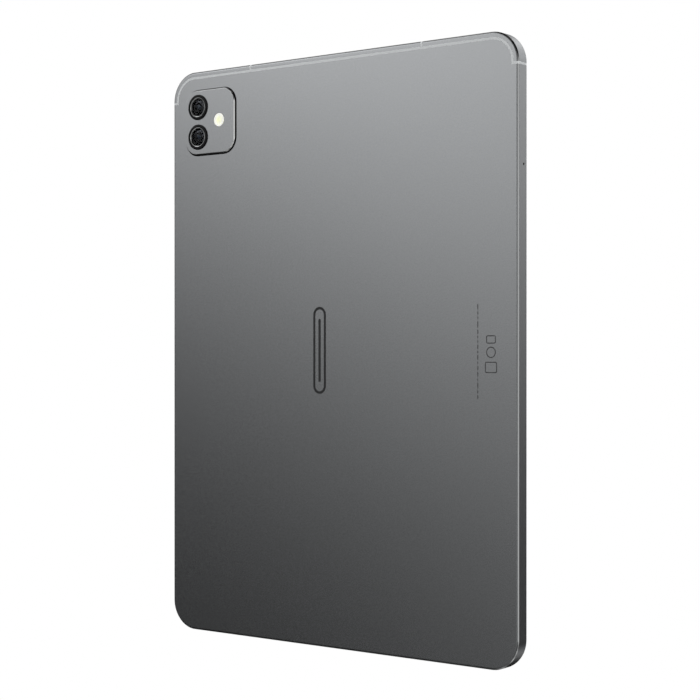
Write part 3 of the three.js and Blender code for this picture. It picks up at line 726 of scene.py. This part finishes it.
# ------------------------------------------------------------------ speaker meshes: woven grids in the slots
def grille(name, cx, z0, z1, node):
    nx, ny = 33, 3
    px, py = (GL - 0.4) / nx, (GT - 0.24) / ny
    verts, faces = [], []
    bar = 0.16
    for i in range(nx):
        for j in range(ny):
            x0, y0 = cx - (GL - 0.4) / 2 + i * px, -(GT - 0.24) / 2 + j * py
            u = abs(x0 + px / 2 - cx) - (GL / 2 - 0.72)
            if u > 0 and j != 1:
                continue
            b = len(verts)
            for zz in (z0, z1):
                for (ax, ay) in ((0, 0), (px, 0), (px, py), (0, py)):
                    verts.append((x0 + ax, y0 + ay, zz))
                for k in range(8):
                    a = 2 * math.pi * (k + 0.5) / 8 - math.pi
                    verts.append((x0 + px / 2 + (px / 2 - bar / 2) * math.cos(a), y0 + py / 2 + (py / 2 - bar / 2) * math.sin(a), zz))
            # corners 0..3, hole 4..11 on the first level; 12.. on the second
            def grp(o, flip):
                fs = [(0, 1, 7, 6), (1, 2, 9, 8), (2, 3, 11, 10), (3, 0, 5, 4), (0, 6, 5), (1, 8, 7), (2, 10, 9), (3, 4, 11)]
                return [tuple(o + q for q in (f[::-1] if flip else f)) for f in fs]
            faces += grp(b, False) + grp(b + 12, True)
            for k in range(8):
                k2 = (k + 1) % 8
                faces.append((b + 4 + k, b + 4 + k2, b + 16 + k2, b + 16 + k))
    me = bpy.data.meshes.new(name)
    me.from_pydata([tuple(c * MM for c in v) for v in verts], [], faces)
    me.materials.append(CLOTH)
    bm = bmesh.new()
    bm.from_mesh(me)
    bmesh.ops.remove_doubles(bm, verts=bm.verts, dist=2e-6)
    # close the outer rim
    rim = [e for e in bm.edges if e.is_boundary]
    bmesh.ops.bridge_loops(bm, edges=rim)
    bmesh.ops.recalc_face_normals(bm, faces=bm.faces)
    bm.to_mesh(me)
    bm.free()
    o = link(bpy.data.objects.new(name, me))
    finishp(o, nodes=(node,))


grille("grille_top_left", -GX, H - 1.2, H - 1.0, "speaker_mesh_top_left")
grille("grille_top_right", GX, H - 1.2, H - 1.0, "speaker_mesh_top_right")
grille("grille_bottom_left", -GX, 1.0, 1.2, "speaker_mesh_bottom_left")
grille("grille_bottom_right", GX, 1.0, 1.2, "speaker_mesh_bottom_right")

# ------------------------------------------------------------------ inner pieces with more shape than the CAD
PB = -1.4                     # back face of the boards


def slab(name, x0, z0, x1, z1, r, prof, mats, rmat=None, cap=(0, 0), n=5):
    """a rounded rectangular piece between two corners; prof is a list of (inset, y)"""
    def shape(d, k):
        return rrect(x1 - x0 - 2 * d, z1 - z0 - 2 * d, max(r - d, 0.05), (x0 + x1) / 2, (z0 + z1) / 2, k)
    return plate(name, prof, mats, rmat, cap, shape=shape, n=n)


def merged(name, parts, mats):
    """one piece from many small closed boxes: (x0, y0, z0, x1, y1, z1, material index)"""
    verts, faces, fm = [], [], []
    for x0, y0, z0, x1, y1, z1, mi in parts:
        e = 0.12 * min(x1 - x0, z1 - z0)
        b = len(verts)
        for y, d in ((y1, 0.0), (y0 + e, 0.0), (y0, e)):
            verts += [(x0 + d, y, z0 + d), (x1 - d, y, z0 + d), (x1 - d, y, z1 - d), (x0 + d, y, z1 - d)]
        for k in (0, 4):
            for j in range(4):
                q = (j + 1) % 4
                faces.append((b + k + j, b + k + q, b + k + 4 + q, b + k + 4 + j))
        faces += [(b, b + 1, b + 2, b + 3), (b + 8, b + 9, b + 10, b + 11)]
        fm += [mi] * 10
    o = build(name, verts, faces, mats, fm)
    return finishp(o)


CERAMIC = surface("ceramic_tan", (0.42, 0.30, 0.19), 0.0, 0.45, vary=0.08, rvary=0.05, grain=4000, gstr=0.1, gdist=5e-6)
CHIP = surface("chip_epoxy", (0.018, 0.018, 0.020), 0.0, 0.5, vary=0.1, rvary=0.06, grain=7000, gstr=0.3, gdist=5e-6)
NICKEL = surface("nickel_strip", (0.62, 0.60, 0.56), 1.0, 0.32, vary=0.03, rvary=0.08, grain=1500, gstr=0.2, gdist=1e-5, stretch=(1, 1, 8))
TAPE = surface("tape_black", (0.015, 0.015, 0.016), 0.0, 0.6, vary=0.1, rvary=0.08, grain=2500, gstr=0.4, gdist=1e-5)
PULL = surface("pull_film", (0.72, 0.73, 0.74), 0.0, 0.4, vary=0.03, rvary=0.05, grain=2500, gstr=0.2, gdist=1e-5)

for nm, (x0, z0, x1, z1) in {"processor_shield": (-16, 212, 14, 240), "power_shield": (-46, 212, -20, 240), "radio_shield": (30, 212, 72, 236)}.items():
    o = slab(nm + "_can", x0, z0, x1, z1, 1.0,
             [(0.0, PB - 0.05), (0.0, PB - 0.40), (0.10, PB - 0.44), (0.10, PB - 0.98), (0.16, PB - 1.10), (0.30, PB - 1.18), (0.42, PB - 1.20),
              (1.30, PB - 1.20), (1.38, PB - 1.13), (1.62, PB - 1.13), (1.70, PB - 1.20)], (STEEL,))
    finishp(o, nodes=(nm,))

# small parts on the main board, in the strip below the cans and between them
bits = []
x = -45.0
while x < 16.0:
    if not (-7.0 < x < 6.0):
        for z in (209.2, 210.4):
            w = 1.0 if random.random() < 0.5 else 0.6
            bits.append((x, PB - 0.36, z, x + w * 0.28, PB, z + w * 0.55, 1))
            bits.append((x + w * 0.28, PB - 0.34, z + 0.02, x + w * 0.78, PB, z + w * 0.55 - 0.02, 0))
            bits.append((x + w * 0.78, PB - 0.36, z, x + w, PB, z + w * 0.55, 1))
    x += 1.7
x = 24.0
while x < 76.0:
    w = 1.0 if random.random() < 0.4 else 0.7
    bits.append((x, PB - 0.36, 209.6, x + w * 0.28, PB, 209.6 + w * 0.55, 1))
    bits.append((x + w * 0.28, PB - 0.34, 209.62, x + w * 0.78, PB, 209.58 + w * 0.55, 0))
    bits.append((x + w * 0.78, PB - 0.36, 209.6, x + w, PB, 209.6 + w * 0.55, 1))
    x += 1.5
for k in range(9):
    z = 213.0 + 2.6 * k
    bits.append((-19.2, PB - 0.5, z, -18.9, PB, z + 0.6, 1))
    bits.append((-18.9, PB - 0.48, z + 0.02, -17.7, PB, z + 0.58, 0))
    bits.append((-17.7, PB - 0.5, z, -17.4, PB, z + 0.6, 1))
merged("board_passives", bits, (CERAMIC, STEEL))
for i, (x0, z0, x1, z1, h) in enumerate(((16.6, 226.0, 27.4, 239.0, 0.9), (16.6, 212.6, 27.4, 224.0, 0.9), (74.5, 214.0, 83.0, 222.5, 0.7), (74.5, 225.5, 83.0, 233.5, 0.7), (-60.5, 226.0, -49.0, 238.0, 0.7), (-59.0, 213.5, -49.5, 222.0, 0.6), (8.0, 204.2, 14.5, 208.0, 0.5))):
    o = slab("board_chip_%d" % (i + 1), x0, z0, x1, z1, 0.25, [(0.0, PB), (0.0, PB - 0.55 * h), (0.08, PB - h + 0.05), (0.14, PB - h), (0.9, PB - h), (0.94, PB - h + 0.015)], (CHIP,), n=3)
    finishp(o)
pads = []
for i, (x0, x1, z0, z1) in enumerate(((-34.0, -24.0, 204.2, 208.0), (-18.0, -9.0, 204.2, 208.0), (60.0, 72.0, 204.0, 207.6), (32.0, 56.0, 203.6, 204.6))):
    o = slab("board_socket_%d" % (i + 1), x0, z0, x1, z1, 0.3, [(0.0, PB), (0.0, PB - 0.75), (0.08, PB - 0.83), (0.42, PB - 0.83), (0.44, PB - 0.45)] if z1 - z0 > 2 else [(0.0, PB), (0.0, PB - 0.45), (0.08, PB - 0.5)], (DARKP,), n=3)
    finishp(o)
    if z1 - z0 > 2:
        x = x0 + 0.9
        while x < x1 - 0.9:
            for z in (z0 + 0.62, z1 - 1.12):
                pads.append((x, PB - 0.58, z, x + 0.28, PB - 0.40, z + 0.5, 0))
            x += 0.62
merged("board_contacts", pads, (GOLD,))

# sub board
bits = []
for k in range(13):
    x = -21.0 + 1.4 * k
    if -5.2 < x < 5.2:
        continue
    for z in (20.5, 28.5):
        bits.append((x, PB - 0.34, z, x + 0.25, PB, z + 0.5, 1))
        bits.append((x + 0.25, PB - 0.32, z + 0.02, x + 0.7, PB, z + 0.48, 0))
        bits.append((x + 0.7, PB - 0.34, z, x + 0.95, PB, z + 0.5, 1))
merged("sub_passives", bits, (CERAMIC, STEEL))
for i, (x0, z0, x1, z1, h) in enumerate(((8.0, 12.0, 14.0, 18.5, 0.6), (-17.0, 12.0, -10.0, 18.0, 0.7), (6.6, 22.0, 12.0, 27.0, 0.5))):
    o = slab("sub_chip_%d" % (i + 1), x0, z0, x1, z1, 0.25, [(0.0, PB), (0.0, PB - 0.55 * h), (0.08, PB - h + 0.05), (0.14, PB - h), (0.9, PB - h), (0.94, PB - h + 0.015)], (CHIP,), n=3)
    finishp(o)

# battery cells: a soft pouch with a folded seal along each side, a taped head and two pull strips
for nm, x0 in (("battery_cell_left", -85.0), ("battery_cell_right", 5.0)):
    o = slab(nm + "_pouch", x0, 46.0, x0 + 80.0, 194.0, 2.4,
             [(1.1, 0.70), (0.45, 0.62), (0.12, 0.40), (0.0, 0.05), (0.0, -0.60), (0.55, -0.72), (0.62, -0.95), (0.12, -1.05), (0.05, -1.60), (0.25, -2.15), (0.70, -2.45), (1.4, -2.58), (2.2, -2.60), (9.0, -2.60)], (POUCH,), n=8)
    finishp(o, nodes=(nm,))
    o = slab(nm + "_head_tape", x0 + 2.6, 184.5, x0 + 77.4, 191.6, 0.6, [(0.0, -2.56), (0.0, -2.64), (0.06, -2.67)], (TAPE,), n=3)
    finishp(o)
    for k, px in enumerate((x0 + 16.0, x0 + 54.0)):
        o = slab(nm + "_pull_%d" % (k + 1), px, 47.5, px + 10.0, 72.0, 2.0, [(0.0, -2.56), (0.0, -2.63), (0.05, -2.66)], (PULL,), n=5)
        finishp(o)
    for k, px in enumerate((x0 + 26.0, x0 + 44.0)):
        o = slab(nm + "_tab_%d" % (k + 1), px, 192.8, px + 6.0, 198.4, 0.4, [(0.0, -1.24), (0.0, -1.36), (0.05, -1.40)], (NICKEL,), n=3)
        finishp(o)
bits = []
for k in range(20):
    x = -11.0 + 1.15 * k
    bits.append((x, -1.5, 196.2, x + 0.25, -1.2, 196.8, 1))
    bits.append((x + 0.25, -1.48, 196.22, x + 0.65, -1.2, 196.78, 0))
    bits.append((x + 0.65, -1.5, 196.2, x + 0.9, -1.2, 196.8, 1))
merged("battery_passives", bits, (CERAMIC, STEEL))

# speaker drivers: a pressed steel lid on each box
for nm, cx, z0, z1 in (("top_left", -GX, 244.8, 253.4), ("top_right", GX, 244.8, 253.4), ("bottom_left", -GX, 3.9, 12.6), ("bottom_right", GX, 3.9, 12.6)):
    o = slab("speaker_lid_" + nm, cx - 8.6, z0, cx + 8.6, z1, 1.6, [(0.0, -2.57), (0.0, -2.66), (0.06, -2.70), (1.3, -2.70), (1.42, -2.64), (1.9, -2.64), (2.02, -2.70)], (STEEL,), n=6)
    finishp(o)

# screws with a cross recess
for i, (x, z) in enumerate(((-50, 207), (20, 207), (80, 207), (80, 239), (-20, 26), (20, 26))):
    y1 = -0.6
    o = lathe("board_screw_head_%d" % (i + 1), x, z, [(0, YB + 0.8), (0.55, YB + 0.8), (0.75, YB + 1.0), (0.75, y1 + 0.08), (1.42, y1 + 0.08), (1.5, y1 + 0.16), (1.5, y1 + 0.42), (1.3, y1 + 0.60), (0.8, y1 + 0.70), (0, y1 + 0.70)], (STEEL,), n=32)
    w, l = 0.2, 0.85
    cross = [(w, l), (-w, l), (-w, w), (-l, w), (-l, -w), (-w, -w), (-w, -l), (w, -l), (w, -w), (l, -w), (l, w), (w, w)]
    c = prism("c_cross", [(x + u, z + v) for u, v in cross], y1 + 0.30, y1 + 1.5, (STEEL,))
    csg(o, "DIFFERENCE", c)
    drop(c)
    finishp(o, nodes=("board_screw_%d" % (i + 1),))

# ------------------------------------------------------------------ the other inner pieces keep their CAD shape with rounded edges and a real finish
FIN = {
    "mid_plate": MID, "backlight": WHITE, "lcd_panel": SCREEN, "display_gasket": FOAM, "front_camera": BLACKM,
    "battery_board": PCB, "main_board": PCB, "sub_board": PCB,
    "camera_bracket": STEEL,
    "main_flex": FLEX, "display_flex": FLEX, "key_flex": FLEX,
    "speaker_top_left": DARKP, "speaker_top_right": DARKP, "speaker_bottom_left": DARKP, "speaker_bottom_right": DARKP,
    "side_microphone": STEEL, "power_switch": STEEL, "volume_switch_up": STEEL, "volume_switch_down": STEEL,
    "flash_led": PHOS, "card_tray": ALU_WALL, "nano_card": CARD, "tray_gasket": SEAL, "card_reader": STEEL,
    "eject_rod": STEEL, "eject_lever": STEEL,
}
BEV = {"speaker_top_left": 0.35, "speaker_top_right": 0.35, "speaker_bottom_left": 0.35, "speaker_bottom_right": 0.35}
for n, m in FIN.items():
    o = NODES[n]
    o.data.materials.clear()
    o.data.materials.append(m)
    w = o.modifiers.new("join_points", "WELD")
    w.merge_threshold = 2e-6
    b = o.modifiers.new("soft_edges", "BEVEL")
    b.width = BEV.get(n, 0.05) * MM
    b.segments = 3 if n in BEV else 1
    b.limit_method = "ANGLE"
    b.angle_limit = math.radians(40)
    b.harden_normals = False

# ------------------------------------------------------------------ stage: floor, light, camera
def stage_mat(name, seen, lit):
    m = bpy.data.materials.new(name)
    m.use_nodes = True
    nt = m.node_tree
    nt.nodes.clear()
    out = nt.nodes.new("ShaderNodeOutputMaterial")
    mix = nt.nodes.new("ShaderNodeMixShader")
    lp = nt.nodes.new("ShaderNodeLightPath")
    em = nt.nodes.new("ShaderNodeEmission")
    em.inputs["Color"].default_value = (*seen, 1)
    df = nt.nodes.new("ShaderNodeBsdfDiffuse")
    df.inputs["Color"].default_value = (*lit, 1)
    nt.links.new(lp.outputs["Is Camera Ray"], mix.inputs["Fac"])
    nt.links.new(df.outputs[0], mix.inputs[1])
    nt.links.new(em.outputs[0], mix.inputs[2])
    nt.links.new(mix.outputs[0], out.inputs["Surface"])
    return m


fme = bpy.data.meshes.new("floor")
S = 6.0
fme.from_pydata([(-S, -S, 0), (S, -S, 0), (S, S, 0), (-S, S, 0)], [], [(0, 1, 2, 3)])
fme.materials.append(stage_mat("floor_white", (1.0, 1.0, 1.0), (0.10, 0.10, 0.10)))
floor = link(bpy.data.objects.new("floor", fme))
floor.location.z = -0.0002
floor.visible_glossy = False
floor.visible_diffuse = False

world = bpy.data.worlds.new("studio")
bpy.context.scene.world = world
world.use_nodes = True
nt = world.node_tree
nt.nodes.clear()
out = nt.nodes.new("ShaderNodeOutputWorld")
bg = nt.nodes.new("ShaderNodeBackground")
bgc = nt.nodes.new("ShaderNodeBackground")
mix = nt.nodes.new("ShaderNodeMixShader")
lp = nt.nodes.new("ShaderNodeLightPath")
bgc.inputs["Color"].default_value = (1, 1, 1, 1)
bg.inputs["Strength"].default_value = 1.0
nt.links.new(lp.outputs["Is Camera Ray"], mix.inputs["Fac"])
nt.links.new(bg.outputs[0], mix.inputs[1])
nt.links.new(bgc.outputs[0], mix.inputs[2])
nt.links.new(mix.outputs[0], out.inputs["Surface"])
tc = nt.nodes.new("ShaderNodeTexCoord")
# soft studio panels: each one is a smooth lobe (direction x, y, z, strength, narrowness) around the object
PANELS = [
    (0.183, -0.135, 0.974, 0.1415, 60),
    (-0.399, -0.134, 0.907, 0.0526, 60),
    (-0.518, 0.204, 0.831, 0.2992, 60),
    (-0.580, -0.112, 0.807, 0.7811, 60),
    (-0.612, -0.264, 0.745, 0.2070, 60),
    (-0.593, -0.426, 0.683, 1.1605, 60),
    (-0.712, 0.215, 0.669, 0.1521, 60),
    (-0.009, 0.787, 0.617, 0.8643, 60),
    (-0.188, 0.811, 0.555, 0.9307, 60),
    (-0.604, 0.594, 0.531, 0.0969, 60),
    (0.105, 0.850, 0.517, 1.5274, 60),
    (0.400, 0.782, 0.479, 1.2368, 60),
    (-0.553, 0.713, 0.431, 0.0988, 60),
    (-0.657, -0.662, 0.360, 2.3670, 60),
    (-0.511, -0.806, 0.298, 0.6272, 60),
    (-0.651, 0.709, 0.269, 0.7179, 60),
    (0.883, -0.412, 0.226, 0.6035, 60),
    (0.489, 0.845, 0.217, 1.8370, 60),
    (0.211, -0.954, 0.212, 1.2799, 60),
    (-0.631, -0.750, 0.198, 0.2254, 60),
    (-0.460, -0.878, 0.136, 0.8869, 60),
    (0.607, 0.786, 0.117, 0.0536, 60),
    (0.936, -0.346, 0.064, 0.8887, 60),
    (-0.182, -0.979, -0.088, 0.0994, 60),
    (0.371, -0.922, -0.112, 0.1140, 60),
    (-0.307, -0.933, -0.188, 0.4193, 60),
    (0.901, -0.386, -0.198, 1.0364, 60),
    (0.241, -0.947, -0.212, 0.2091, 60),
    (0.457, 0.756, -0.469, 0.0669, 60),
    (0.272, 0.802, -0.531, 0.7515, 60),
    (0.729, -0.286, -0.621, 1.1509, 60),
    (-0.673, 0.232, -0.702, 0.0144, 60),
    (-0.533, 0.268, -0.802, 0.0200, 60),
    (0.427, -0.193, -0.883, 1.2217, 60),
    (-0.151, -0.028, -0.988, 0.7558, 60),
    (-0.992, -0.060, 0.110, 0.60, 30),
    (-0.150, -0.620, -0.770, 0.50, 25),
]
FILL = 0.016
total = None
for px, py, pz, power, soft in PANELS:
    dot = nt.nodes.new("ShaderNodeVectorMath")
    dot.operation = "DOT_PRODUCT"
    nt.links.new(tc.outputs["Generated"], dot.inputs[0])
    dot.inputs[1].default_value = (px, py, pz)
    arg = nt.nodes.new("ShaderNodeMath")
    arg.operation = "MULTIPLY_ADD"
    nt.links.new(dot.outputs["Value"], arg.inputs[0])
    arg.inputs[1].default_value = soft
    arg.inputs[2].default_value = -soft
    ex = nt.nodes.new("ShaderNodeMath")
    ex.operation = "EXPONENT"
    nt.links.new(arg.outputs[0], ex.inputs[0])
    add = nt.nodes.new("ShaderNodeMath")
    add.operation = "MULTIPLY_ADD"
    nt.links.new(ex.outputs[0], add.inputs[0])
    add.inputs[1].default_value = power
    if total is None:
        add.inputs[2].default_value = FILL
    else:
        nt.links.new(total, add.inputs[2])
    total = add.outputs[0]
nt.links.new(total, bg.inputs["Color"])


def area(name, loc, look, size, power, size_y=None, spread=None):
    l = bpy.data.lights.new(name, "AREA")
    l.energy = power
    l.shape = "RECTANGLE"
    l.size = size
    l.size_y = size_y or size
    if spread:
        l.spread = math.radians(spread)
    o = link(bpy.data.objects.new(name, l))
    o.location = loc
    o.rotation_euler = (Vector(look) - Vector(loc)).to_track_quat("-Z", "Y").to_euler()
    o.visible_camera = False
    return o


PSI = math.radians(37.52)
DIST = 0.7236
cd = bpy.data.cameras.new("camera")
cd.sensor_width = 36.0
cd.sensor_fit = "HORIZONTAL"
cd.lens = 36.0 * 1661.5 / 700.0
cd.shift_x = 12.45 / 700.0
cd.shift_y = 0.84 / 700.0
cd.clip_start = 0.01
cd.clip_end = 50.0
cam = link(bpy.data.objects.new("camera", cd))
cam.location = (DIST * math.sin(PSI), -DIST * math.cos(PSI), H / 2 * MM)
cam.rotation_euler = (math.pi / 2, 0, PSI)
bpy.context.scene.camera = cam
bpy.context.scene.view_settings.view_transform = "Standard"
bpy.context.scene.view_settings.look = "None"

# a soft front lamp for the plastic and printed parts; metal and glass don't mirror it
lamp = area("front_lamp", (-0.1, -0.9, 0.9), (0, 0, 0.129), 0.6, 8.6)
lamp.visible_glossy = False
lamp.visible_transmission = False
lamp = area("side_lamp", (1.2, 0.1, 0.5), (0, 0, 0.129), 0.6, 9.0)
lamp.visible_glossy = False
lamp.visible_transmission = False
